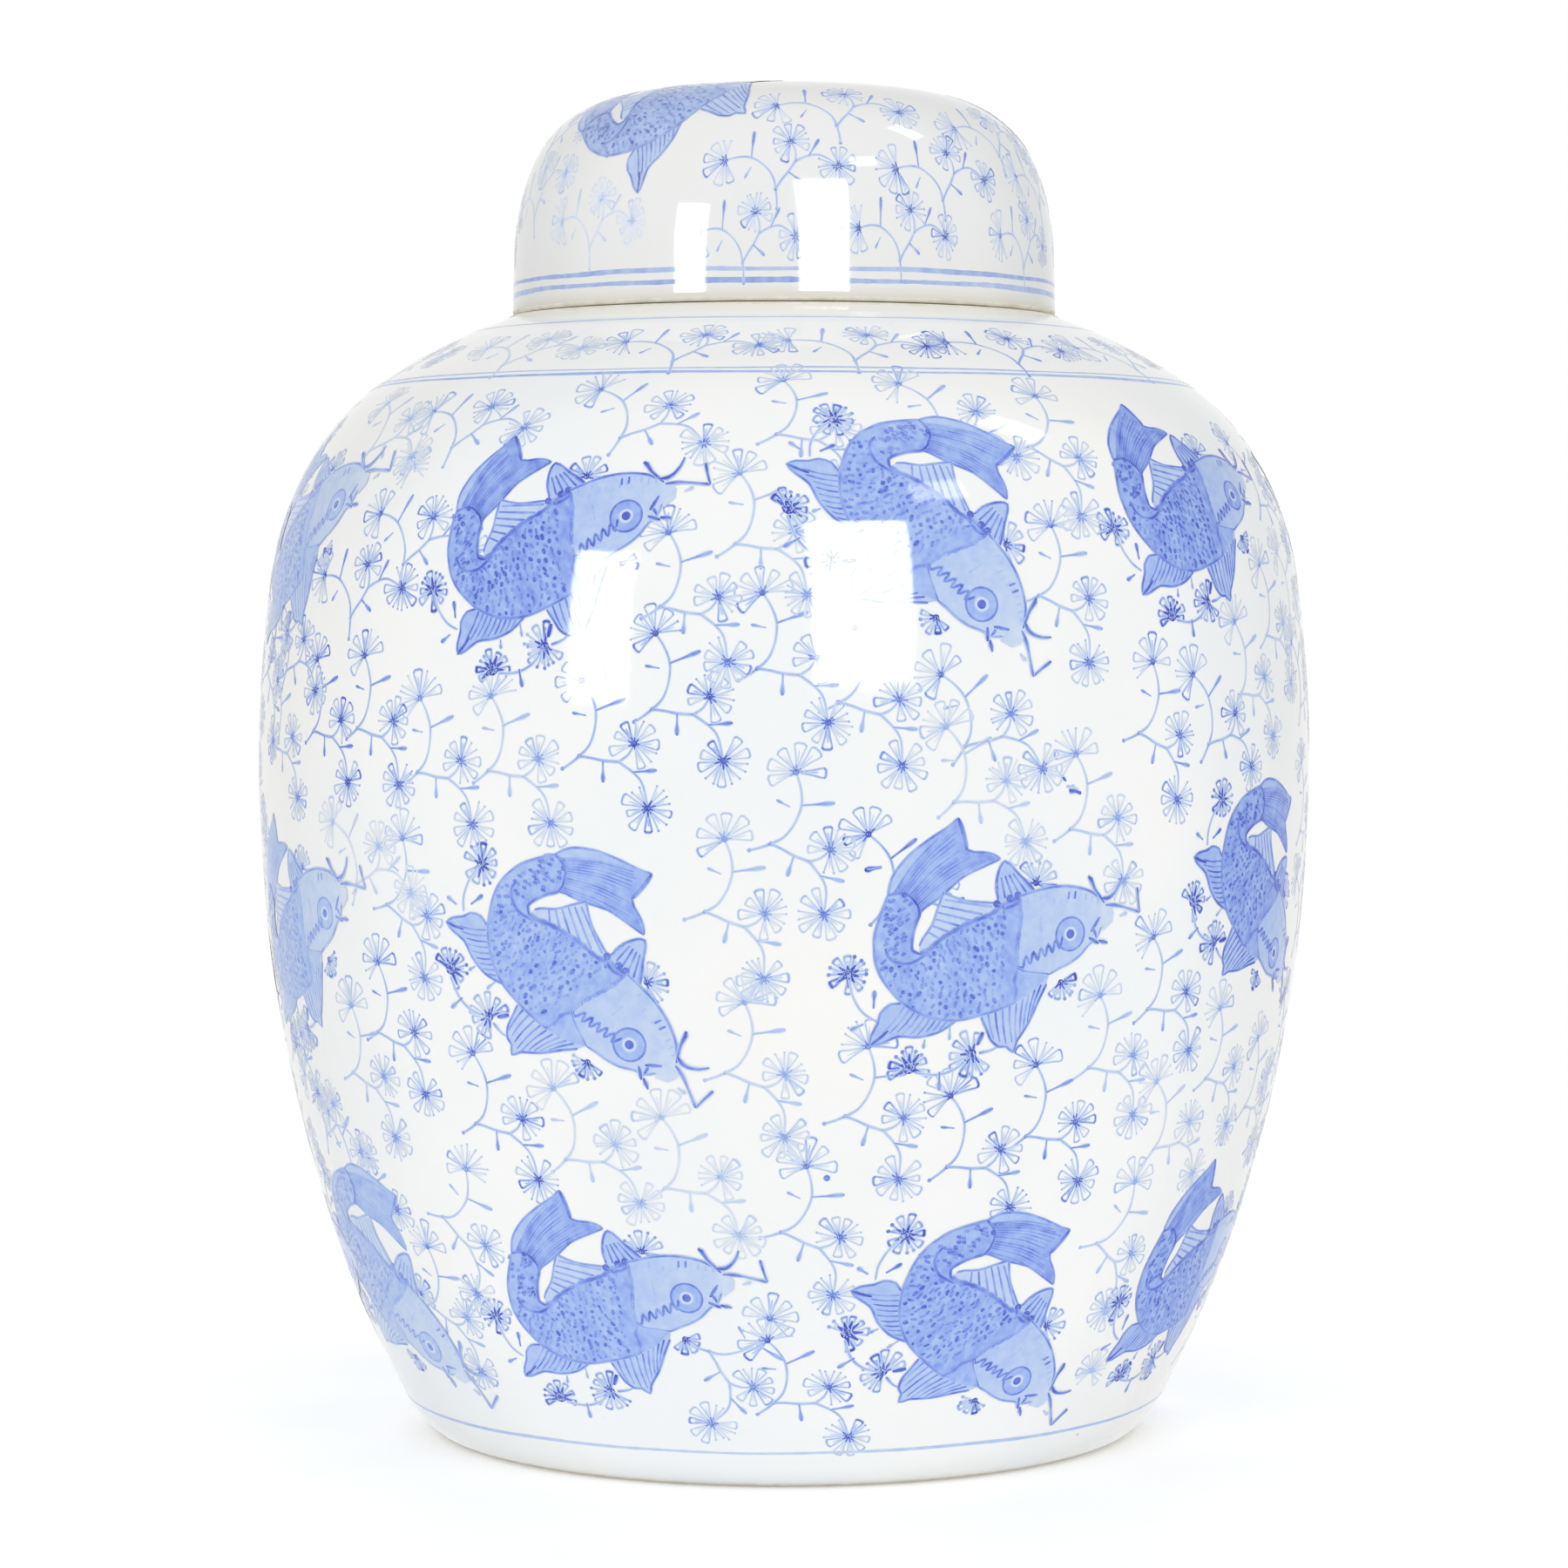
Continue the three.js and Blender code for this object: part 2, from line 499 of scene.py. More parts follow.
LIP_MARKS = [
    ((19, 1.2), (21, 4)), ((19.5, 2), (20.3, 0)), ((18.5, 0), (21, -1.3)), ((21, -0.7), (23.3, -1.3)),
]
SCALE_COLUMNS = 19
STALK_MARKS = 44


def blend(a, b, t):
    """The point a share t of the way from a to b."""
    return (a[0] + (b[0] - a[0]) * t, a[1] + (b[1] - a[1]) * t)


def along(points, t):
    """The point a share t along a run of points."""
    spans = [math.dist(a, b) for a, b in zip(points, points[1:])]
    left = t * sum(spans)
    for (a, b), span in zip(zip(points, points[1:]), spans):
        if left <= span:
            return blend(a, b, left / span)
        left -= span
    return points[-1]


def rays(b, roots, tips, count, width, ink, dice, bow=0.0, reach=1.0):
    """Fin rays from one line of points to another."""
    for k in range(count):
        t = (k + 0.5) / count
        root = along(roots, t)
        tip = blend(root, along(tips, t), reach * dice.uniform(0.86, 1))
        middle = blend(root, tip, 0.5)
        middle = (middle[0] - (tip[1] - root[1]) * bow, middle[1] + (tip[0] - root[0]) * bow)
        b.stroke([root, middle, tip], [width, width * 0.85, width * 0.5], ink * dice.uniform(0.8, 1.1), 1.2)


def tail(b, dice):
    """The tail fin, swept up over the carp's back."""
    b.ground = 0.4
    root = STALK_TOP[-1:] + curve(STALK_TOP[::-1])
    b.wash(joined(curve(TAIL_OUTER), curve(TAIL_END), curve(TAIL_INNER), root), tail_ink)
    roots = [(-24.4, 9.6), (-23, 10.1), (-21, 9.6), (-19.4, 7.6), (-18.6, 6.5)]
    tips = [(-14.5, 22.2), (-10.6, 22.6), (-9.6, 18.4), (-6, 17.4), (-3.2, 16.2)]
    rays(b, roots, tips, 15, 0.38, 0.62, dice, 0.05, 0.98)
    b.stroke(curve(TAIL_OUTER, 2), 0.42, 0.6)
    b.stroke(curve(TAIL_INNER, 2), 0.42, 0.68)
    tip = curve(TAIL_END[:3], 2)
    b.stroke(tip, [0.5] + [0.95] * (len(tip) - 1), 0.72)
    b.stroke(curve(TAIL_END[2:], 2), 0.5, 0.64)


def tail_ink(x, y):
    return 0.32 + 0.012 * (x + 24) + 0.02 * np.sin(x * 1.7 + y)


def fins(b, dice):
    b.ground = 0.34
    dorsal_fin(b, dice)
    crest(b)
    pelvic_fin(b, dice)
    pectoral_fin(b, dice)


def dorsal_fin(b, dice):
    """The long fin on the back, with six spines."""
    b.wash(joined(curve(DORSAL_END), curve(BACK)[:-3], curve(DORSAL_TIPS[::-1])), 0.24)
    roots = [(-3.2, 7.3), (-6.5, 4.9), (-10, 3.2), (-13, 1.6), (-16, -0.2)]
    tips = [(-13.5, 8.8), (-14.8, 6.8), (-16, 4), (-17.6, 1.4)]
    for k in range(6):
        root, tip = along(roots, (k + 0.3) / 6), along(tips, (k + 0.3) / 6)
        b.stroke([root, blend(root, tip, 0.5), tip], [0.5, 0.4, 0.3], 0.6 * dice.uniform(0.85, 1.1), 1.2)
    b.stroke(curve(DORSAL_END[::-1] + DORSAL_TIPS, 1.6), 0.36, 0.58)


def crest(b):
    """The short fin behind the head."""
    b.wash(joined(curve(CREST), [(2, 8.6), (-0.8, 8)]), 0.34)
    for k in range(6):
        root = blend((5.2, 9.7), (-2.6, 8.2), k / 5)
        tip = blend((1.4, 13.6), (-2.9, 12.4), k / 5) if k else (1.6, 13.2)
        b.stroke([root, tip], [0.45, 0.38], 0.68, 1.2)
    b.stroke(curve(CREST[1:], 1.6), 0.5, 0.7)


def pelvic_fin(b, dice):
    """The fin under the tail's root."""
    b.wash(joined(curve(PELVIC), [(-14, -15.2), (-18, -13.9)]), 0.36)
    roots = [(-21.6, -12.4), (-19, -13.8), (-15, -15.1), (-11.5, -15.6)]
    tips = [(-26.4, -18.6), (-22, -18.2), (-18, -18.5), (-13, -17.4)]
    rays(b, roots, tips, 9, 0.42, 0.68, dice, 0.04)
    b.stroke(curve(PELVIC, 1.6), 0.45, 0.66)
    b.stroke([(-27.4, -20.2), (-26, -19.2), (-24, -17.4)], [0.9, 0.7, 0.4], 0.8)


def pectoral_fin(b, dice):
    """The fin under the chest."""
    b.wash(joined(curve(PECTORAL), curve(CHEST[::-1]), curve(BELLY[-3:-1][::-1])), 0.3)
    roots = [(-4.4, -14.6), (-1, -13.9), (3, -12.4), (8.4, -8.6)]
    tips = [(-2.4, -20.4), (0.6, -21.4), (2.4, -21.8), (6, -15.4)]
    rays(b, roots, tips, 9, 0.42, 0.68, dice, -0.03)
    b.stroke(curve(PECTORAL, 1.6), 0.45, 0.7)


def body_ink(x, y):
    return 0.43 + 0.06 * np.sin(2.9 * x + 1.3 * y) * np.sin(2.6 * y - 0.9 * x) + 0.03 * np.sin(x * 0.6 + 1.3)


def scales(b, dice):
    """Rows of short scale marks from the tail's root to the collar, then more on the tail's stalk."""
    under = curve(BELLY, 1.5)
    over = curve(STALK_OUTER[:1] + [(-21, -3.6), (-18.5, -2.6)] + BACK[2:], 1.5)
    for k in range(1, SCALE_COLUMNS):
        t = k / SCALE_COLUMNS
        low, high = along(under, 0.1 + 0.86 * t), along(over, 0.04 + 0.9 * t)
        rows = max(3, round(math.dist(low, high) / 1.6))
        for j in range(rows):
            share = (j + (0.5 if k % 2 else 0.95)) / (rows + 0.5)
            x, y = blend(low, high, share)
            ahead_low, ahead_high = along(under, min(1, 0.14 + 0.86 * t)), along(over, min(1, 0.08 + 0.9 * t))
            ahead = blend(ahead_low, ahead_high, share)
            lean = math.atan2(ahead[1] - y, ahead[0] - x) + math.radians(dice.uniform(50, 120))
            x += dice.uniform(-0.45, 0.45)
            y += dice.uniform(-0.45, 0.45)
            half = dice.uniform(0.3, 0.8)
            dx, dy = half * math.cos(lean), half * math.sin(lean)
            bold = dice.random()
            ink = 0.67 if bold > 0.6 else 0.55
            width = 1.15 if bold > 0.7 else 0.7
            mark = [(x - dx, y - dy), (x, y), (x + dx, y + dy)]
            b.stroke(mark, [width * 0.6, width, width * 0.7], ink, 0.7)
    for _ in range(STALK_MARKS):
        x, y = dice.uniform(-26, -20.6), dice.uniform(-2.2, 8.6)
        mark = [(x - 0.45, y - 0.3), (x, y + 0.15), (x + 0.45, y + 0.1)]
        b.stroke(mark, [0.5, 0.9, 0.5], dice.uniform(0.56, 0.7), 0.7)


def body(b, dice):
    """The scaly body and the stalk that it bends up into."""
    b.ground = 0.44
    stalk = joined(curve(STALK_OUTER), curve(STALK_TOP), curve(STALK_INNER))
    b.wash(joined(stalk, curve(BACK), curve(COLLAR), curve(BELLY[::-1])), body_ink, 1.1)
    b.wash(joined(curve(COLLAR[4:]), curve(CHEST), curve(JAW)), body_ink, 1.1)
    scales(b, dice)
    b.stroke(curve(STALK_TOP, 1), 0.6, 0.74)
    b.dot((-22, 9.5), 0.6, 0.74)
    b.stroke(curve(STALK_OUTER, 2), 0.45, 0.58)
    b.stroke(curve(STALK_INNER, 1.6), 0.6, 0.72)
    b.stroke(curve(STALK_FOLD, 1.4), 0.65, 0.72)
    b.stroke(curve(BELLY, 2), 0.45, 0.6)
    spine = curve(BACK, 1.15)
    b.stroke(spine, [0.7 + 0.4 * (k % 2) for k in range(len(spine))], 0.68, 0.6)
    collar = curve(COLLAR, 1.1)
    b.stroke(collar, [0.6 + 0.4 * (k % 2) for k in range(len(collar))], 0.6, 0.6)
    for x, y in ((-2.8, 7.4), (0, 8.4), (1.7, 9)):
        b.dot((x, y), 0.8, 0.76)
    b.stroke([(-3.2, 7.2), (-1.4, 6.6), (0.6, 6.9), (2, 7.8)], [0.6, 0.8, 0.8, 0.6], 0.7)


def head_ink(x, y):
    return 0.275 - 0.004 * (x - 12) + 0.012 * np.sin(x + 0.6 * y)


def head(b):
    """The pale head, with its mouth, gill line, cheek marks and ringed eye."""
    b.ground = 0.27
    b.wash(joined(curve(HEAD), curve(JAW), curve(COLLAR[:5][::-1])), head_ink)
    b.wash([(21, 8), (23, 6.8), (24.6, 5), (24.3, 3), (22, 1.2), (21.6, 3.5)], 0.2)
    gill = [(2.3, -5.2)]
    for k in range(6):
        x, y = blend((3.4, -4.9), (11.6, -1.3), k / 5)
        gill += [(x, y - 0.6), (x + 0.6, y + 1.8)]
    b.stroke(gill, 0.7, 0.7, 0.6)
    for k in range(12):
        x = 4 + 1.5 * k
        y = 8.6 + 0.5 * math.sin(k)
        b.stroke([(x, y), (x - 0.15, y - 1.2)], 0.35, 0.34, 0.8)
    b.stroke([(7, 4.6), (7.3, 1.4)], 0.4, 0.36, 1)
    for x in (13.4, 14.9):
        b.stroke([(x, 9.4), (x - 0.2, 7.9)], 0.55, 0.7, 0.8)
    b.ring(EYE, 1.7, 3.3, 0.42)
    b.ring(EYE, 3.1, 3.55, 0.64)
    b.dot(EYE, 1.8, 0.18, 18)
    b.ring(EYE, 1.5, 1.8, 0.4)
    b.dot(EYE, 0.95, 0.76, 12)
    b.stroke(curve(HEAD[:7], 2), 0.5, 0.64)
    b.stroke(curve(HEAD[9:], 2), 0.42, 0.56)
    b.stroke(curve(JAW, 1.5), 0.45, 0.6)


def whiskers(b):
    """The whiskers, and the marks round the lips."""
    b.ground = 0.1
    b.stroke([(17.9, 12.3), (18.5, 11.7), (19.5, 9.8), (21, 8), (22, 6.8)], [0.9, 1.1, 0.7, 0.7, 0.4], 0.76)
    b.stroke([(21.2, 7.8), (22.6, 7.7), (24, 8.3), (25.5, 10), (26.3, 11.8)], [0.6, 1, 0.8, 0.6, 0.4], 0.72)
    b.stroke([(22.3, 6.4), (24.6, 6.3), (27, 5.8), (31.4, 4.6)], [0.4, 0.9, 0.5, 0.7], 0.64)
    b.stroke([(31.4, 4.6), (30.9, 7), (30.5, 9.6)], [0.5, 0.5, 0.8], 0.66)
    b.drop((26.2, 4), (28, 4.6), 0.8, 0.3)
    for root, tip in LIP_MARKS:
        b.stroke([root, blend(root, tip, 0.5), tip], [0.7, 1, 0.5], 0.74)


def carp_flowers(b, dice):
    """The dark little flowers and tendrils that trail about the carp."""
    flower(b, (5.7, 11.3), 75, 190, 4.4, 0.68, dice, 1, 1.4)
    flower(b, (12.3, -8.8), -60, 150, 3.4, 0.76, dice, 1, 1.6)
    flower(b, (-32.5, -6), 60, 300, 4.0, 0.76, dice, 1.6, 1.6)
    b.stroke([(-32.5, -6), (-31.6, -10), (-29.6, -13.4), (-27, -15.3)], 0.42, 0.42)
    b.drop((-27.2, -12.9), (-27.2, -9.3), 1, 0.66)
    b.drop((-29, -16), (-31.6, -17.2), 1, 0.6)
    flower(b, (-19.3, -25), 95, 220, 4.0, 0.8, dice, 2.0, 1.6)
    flower(b, (-6.5, -22.5), 200, 240, 4.6, 0.72, dice, 1.5, 1.5)
    b.stroke([(-18, -26), (-13.5, -26.6), (-9.6, -25.4), (-7, -23)], 0.5, 0.46)
    b.drop((-13, -26), (-12.8, -29.8), 1, 0.66)
    b.stroke([(-5.5, -20.8), (-4.4, -18.2)], [1, 1.3], 0.9)
    b.stroke([(-5, -22.4), (-2, -21.8), (1, -19.6)], [0.8, 0.4, 0.35], 0.52)
    b.drop((-11.5, -16.9), (-11.4, -19.6), 0.7, 0.5)
    b.drop((-16.5, -19.3), (-16.7, -21.2), 0.8, 0.45)


def carp(b, dice, flowers):
    """One carp, about 50 mm long, with or without its own dark flowers."""
    if flowers:
        carp_flowers(b, dice)
    tail(b, dice)
    fins(b, dice)
    body(b, dice)
    head(b)
    whiskers(b)


# ---- materials


def material(name):
    """A new material, with its nodes, its links and its shader."""
    m = bpy.data.materials.new(name)
    m.use_nodes = True
    return m, m.node_tree.nodes, m.node_tree.links, m.node_tree.nodes["Principled BSDF"]


def linear(c):
    """One channel of an sRGB colour, 0 to 1, as linear light."""
    return c / 12.92 if c <= 0.04045 else ((c + 0.055) / 1.055) ** 2.4


def rgb(r, g, b):
    """An sRGB colour, 0 to 255, as Blender's linear RGBA."""
    return (linear(r / 255), linear(g / 255), linear(b / 255), 1)


def placed(nodes):
    """Where a point lies on its own piece, as a socket."""
    return nodes.new("ShaderNodeTexCoord").outputs["Object"]


def noise(nodes, links, scale, detail=3, roughness=0.5):
    """Clouds fixed to the object."""
    texture = nodes.new("ShaderNodeTexNoise")
    texture.inputs["Scale"].default_value = scale
    texture.inputs["Detail"].default_value = detail
    texture.inputs["Roughness"].default_value = roughness
    links.new(placed(nodes), texture.inputs["Vector"])
    return texture


def ramp(nodes, links, source, stops):
    """Colours for a value from 0 to 1, from (place, colour) stops."""
    node = nodes.new("ShaderNodeValToRGB")
    elements = node.color_ramp.elements
    elements[0].position, elements[0].color = stops[0]
    elements[1].position, elements[1].color = stops[-1]
    for position, colour in stops[1:-1]:
        elements.new(position).color = colour
    links.new(source, node.inputs["Fac"])
    return node


def mapped(nodes, links, source, low, high, from_low=0.0, from_high=1.0):
    """The source, stretched from one range of values to another."""
    node = nodes.new("ShaderNodeMapRange")
    ends = {"From Min": from_low, "From Max": from_high, "To Min": low, "To Max": high}
    for end, value in ends.items():
        node.inputs[end].default_value = value
    links.new(source, node.inputs["Value"])
    return node.outputs["Result"]


def bumped(nodes, links, shader, height, strength, distance):
    """Small relief in a shader, as high as the height socket says."""
    bump = nodes.new("ShaderNodeBump")
    bump.inputs["Strength"].default_value = strength
    bump.inputs["Distance"].default_value = distance
    links.new(height, bump.inputs["Height"])
    links.new(bump.outputs["Normal"], shader.inputs["Normal"])


def mixed(nodes, links, factor, a, b):
    """The colour socket a, going over to the colour b as factor goes from 0 to 1."""
    mix = nodes.new("ShaderNodeMix")
    mix.data_type = "RGBA"
    mix.inputs["B"].default_value = b
    links.new(factor, mix.inputs["Factor"])
    links.new(a, mix.inputs["A"])
    return mix.outputs["Result"]


def nearness(nodes, links, height, reach):
    """1 at a height in metres, falling to 0 at reach above or below it."""
    parts = nodes.new("ShaderNodeSeparateXYZ")
    links.new(placed(nodes), parts.inputs["Vector"])
    off = nodes.new("ShaderNodeMath")
    off.operation = "SUBTRACT"
    off.inputs[1].default_value = height
    links.new(parts.outputs["Z"], off.inputs[0])
    size = nodes.new("ShaderNodeMath")
    size.operation = "ABSOLUTE"
    links.new(off.outputs["Value"], size.inputs[0])
    return mapped(nodes, links, size.outputs["Value"], 1, 0, 0, reach)


def glaze_material(name, pooled, thin, edge, reach, edge_colour):
    """Clear glaze over white porcelain: faintly blue where it pools, with a few iron specks, and going
    over to the edge colour near the height edge. On the lid that is the cream body, where the glaze was wiped
    back thin; on the jar it is a cream-grey, partly thin glaze and partly painted shade under the lid's rim."""
    m, nodes, links, shader = material(name)
    clouds = noise(nodes, links, 16)
    tint = ramp(nodes, links, clouds.outputs["Fac"], [(0.35, pooled), (0.65, thin)])
    specks = nodes.new("ShaderNodeTexVoronoi")
    specks.inputs["Scale"].default_value = 45
    links.new(placed(nodes), specks.inputs["Vector"])
    spots = ramp(nodes, links, specks.outputs["Distance"], [(0.0, (1, 1, 1, 1)), (0.022, (0, 0, 0, 1))])
    speckled = mixed(nodes, links, spots.outputs["Color"], tint.outputs["Color"], rgb(176, 164, 142))
    # Near the edge height the colour goes over to edge_colour: cream thin glaze on the lid, and on the jar
    # partly thin glaze and partly painted shade under the lid's rim.
    thin_glaze_and_shade = mixed(nodes, links, nearness(nodes, links, edge, reach), speckled, edge_colour)
    links.new(thin_glaze_and_shade, shader.inputs["Base Color"])
    fine = noise(nodes, links, 160, 2)
    links.new(mapped(nodes, links, fine.outputs["Fac"], 0.035, 0.085), shader.inputs["Roughness"])
    ripple = noise(nodes, links, 42, 2)
    bumped(nodes, links, shader, ripple.outputs["Fac"], 0.3, 0.0003)
    return m


def clay_material():
    """Bare fired clay where a foot or a rim was wiped clean of glaze."""
    m, nodes, links, shader = material("bare_clay")
    grain = noise(nodes, links, 300, 6, 0.6)
    tint = ramp(nodes, links, grain.outputs["Fac"], [(0.3, rgb(219, 214, 200)), (0.7, rgb(240, 237, 227))])
    links.new(tint.outputs["Color"], shader.inputs["Base Color"])
    links.new(mapped(nodes, links, grain.outputs["Fac"], 0.7, 0.95), shader.inputs["Roughness"])
    bumped(nodes, links, shader, grain.outputs["Fac"], 0.5, 0.0002)
    return m


def greyer(colour, share):
    """The colour with a share of it turned to a cool grey of the same lightness."""
    mean = sum(colour) / 3
    cool = (mean, mean * 1.04, mean * 1.14)
    return [c + (g - c) * share for c, g in zip(colour, cool)]


# The colour of the cobalt under the glaze, by ink.
INK_SHADES = [
    (0.0, (241, 245, 247)),
    (0.1, (221, 230, 240)),
    (0.2, (201, 216, 240)),
    (0.3, (182, 203, 239)),
    (0.42, (161, 187, 239)),
    (0.54, (138, 164, 234)),
    (0.66, (112, 138, 225)),
    (0.8, (84, 105, 207)),
    (1.0, (56, 70, 182)),
]


def cobalt_material(name, grey):
    """Cobalt blue under the same glaze, as dark as each stroke's ink, pooled and thinned by the brush."""
    m, nodes, links, shader = material(name)
    ink = nodes.new("ShaderNodeAttribute")
    ink.attribute_name = "ink"
    pooling = noise(nodes, links, 420, 4, 0.6)
    uneven = mapped(nodes, links, pooling.outputs["Fac"], 0.82, 1.18, 0.3, 0.7)
    product = nodes.new("ShaderNodeMath")
    product.operation = "MULTIPLY"
    links.new(ink.outputs["Fac"], product.inputs[0])
    links.new(uneven, product.inputs[1])
    stops = [(place, rgb(*greyer(colour, grey))) for place, colour in INK_SHADES]
    shades = ramp(nodes, links, product.outputs["Value"], stops)
    links.new(shades.outputs["Color"], shader.inputs["Base Color"])
    shader.inputs["Roughness"].default_value = 0.06
    return m


# ---- porcelain pieces


def turned(name, outline, glaze, glazed, body_name):
    """A porcelain body turned from its outline. Bands of the outline that aren't glazed are bare clay."""
    bm = bmesh.new()
    rings = []
    for p in outline:
        if p.x < ON_AXIS:
            rings.append([bm.verts.new((0, 0, p.y))])
            continue
        ring = []
        for k in range(ROUND_STEPS):
            a = 2 * math.pi * k / ROUND_STEPS
            ring.append(bm.verts.new((p.x * math.sin(a), -p.x * math.cos(a), p.y)))
        rings.append(ring)
    for i, (low, high) in enumerate(zip(rings, rings[1:])):
        bare = not glazed((outline[i] + outline[i + 1]) / 2)
        for k in range(ROUND_STEPS):
            n = (k + 1) % ROUND_STEPS
            if len(low) == 1:
                face = bm.faces.new((low[0], high[n], high[k]))
            elif len(high) == 1:
                face = bm.faces.new((low[k], low[n], high[0]))
            else:
                face = bm.faces.new((low[k], low[n], high[n], high[k]))
            face.smooth = True
            face.material_index = 1 if bare else 0
    bm.normal_update()
    mesh = bpy.data.meshes.new(name)
    bm.to_mesh(mesh)
    bm.free()
    mesh.materials.append(glaze)
    mesh.materials.append(CLAY)
    piece = added(name, mesh)
    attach(piece, body_name)
    return piece


lid_low, lid_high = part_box("lid")
jar_outline = rounded(section("jar_body"))
lid_outline = rounded(section("lid"))
SEAT_HEIGHT = lid_low[2] - LID_GAP

# The jar's cream-grey band by the lid's seat is partly thin glaze and partly painted shade under the lid's
# rim.
JAR_GLAZE = glaze_material(
    "jar_glaze_white", rgb(242, 245, 246), rgb(248, 248, 245), SEAT_HEIGHT, 5 * MM, rgb(240, 239, 230)
)
# The lid's glaze colours are a little darker than the jar's, which is painted shade: the lid's sloping sides
# take less light.
LID_GLAZE = glaze_material(
    "lid_glaze_white", rgb(234, 236, 236), rgb(238, 238, 235), lid_low[2], 3.5 * MM, rgb(222, 217, 204)
)
CLAY = clay_material()
JAR_COBALT = cobalt_material("jar_cobalt", 0.0)
LID_COBALT = cobalt_material("lid_cobalt", 0.3)


def jar_glazed(p):
    """False on the foot ring's underside and on the lid's seat."""
    foot = p.y < FOOT_BARE and p.x > FOOT_INNER_RADIUS
    seat = SEAT_HEIGHT - SEAT_BARE < p.y < SEAT_HEIGHT + SEAT_BARE and p.x > SEAT_INNER_RADIUS
    return not foot and not seat


def lid_glazed(p):
    """False on the lid's rim."""
    return p.y > lid_low[2] + LID_BARE or p.x < LID_INNER_RADIUS


jar = turned("jar_porcelain", jar_outline, JAR_GLAZE, jar_glazed, "jar")
lid = turned("lid_porcelain", lid_outline, LID_GLAZE, lid_glazed, "lid")
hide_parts("jar_body")
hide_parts("lid")

JAR_WALL = Wall(jar_outline, SEAT_HEIGHT - 0.4 * MM)
LID_WALL = Wall(lid_outline, lid_high[2] + MM)


# ---- painting

# The body that the paint rides on, and its material slot.
JAR_PAINT = ("jar", "jar_glaze")
LID_PAINT = ("lid", "lid_glaze")


def band(name, wall, run, width, ink, paint, wander=0.0):
    """A line painted round the piece on the wheel, with the slight waver of a hand-held brush."""
    b = Brush(belt_place(wall, 0, run))
    dice = random.Random(name)
    phase = dice.uniform(0, 6)
    angles, low, high, inks = [], [], [], []
    for k in range(ROUND_STEPS):
        a = 2 * math.pi * k / ROUND_STEPS
        sway = wander * math.sin(a + phase) + 0.08 * math.sin(7 * a + phase) + 0.05 * math.sin(17 * a)
        half = width / 2 * (1 + 0.18 * math.sin(5 * a + phase) + 0.12 * dice.uniform(-1, 1))
        angles.append(a)
        low.append(sway - half)
        high.append(sway + half)
        inks.append(ink * (1 + 0.15 * math.sin(3 * a + phase) + 0.1 * dice.uniform(-1, 1)))
    points, normals = wall.spot(np.array(angles * 2), run + np.array(low + high), PAINT_LIFT)
    b.points.append(points)
    b.normals.append(normals)
    b.inks.append(np.array(inks * 2))
    for k in range(ROUND_STEPS):
        n = (k + 1) % ROUND_STEPS
        b.faces.append((k, n, ROUND_STEPS + n, ROUND_STEPS + k))
    b.piece(name, *paint)


band("jar_band_foot", JAR_WALL, 12.2, 0.7, 0.28, JAR_PAINT, 0.6)
band("jar_band_shoulder_low", JAR_WALL, 241.6, 0.75, 0.38, JAR_PAINT)
band("jar_band_shoulder_high", JAR_WALL, 243, 0.45, 0.32, JAR_PAINT)
band("jar_band_top", JAR_WALL, 266, 0.6, 0.3, JAR_PAINT)
band("lid_band_low", LID_WALL, 4.7, 1.0, 0.45, LID_PAINT)
band("lid_band_high", LID_WALL, 7.1, 0.9, 0.42, LID_PAINT)

# Each carp: longitude, run, turn, strength of ink, size.
# The low ink strength of the lowest carp at the left, longitude -59.2, is partly painted reflection: it
# stands in for the gloss that pales the paint towards the jar's side.
CARP_FRONT = [
    (-66.1, 205.4, 12.5, 0.8, 1), (-23.4, 202.6, 10.5, 1.12, 0.97),
    (16.7, 200.6, -65, 1, 1), (52.9, 210.2, 1.5, 1.15, 0.95),
    (-63.4, 121.7, 8, 0.78, 0.98), (-20.3, 112.8, -57, 0.96, 1),
    (23, 122, 0, 1, 1), (62, 125.6, -57, 1.15, 0.95),
    (-59.2, 41.9, -57, 0.75, 1.03), (-19.3, 47.2, 1, 1, 0.96),
    (26.5, 38, -57, 1.04, 1), (65, 47.3, -2, 1.08, 0.98),
]
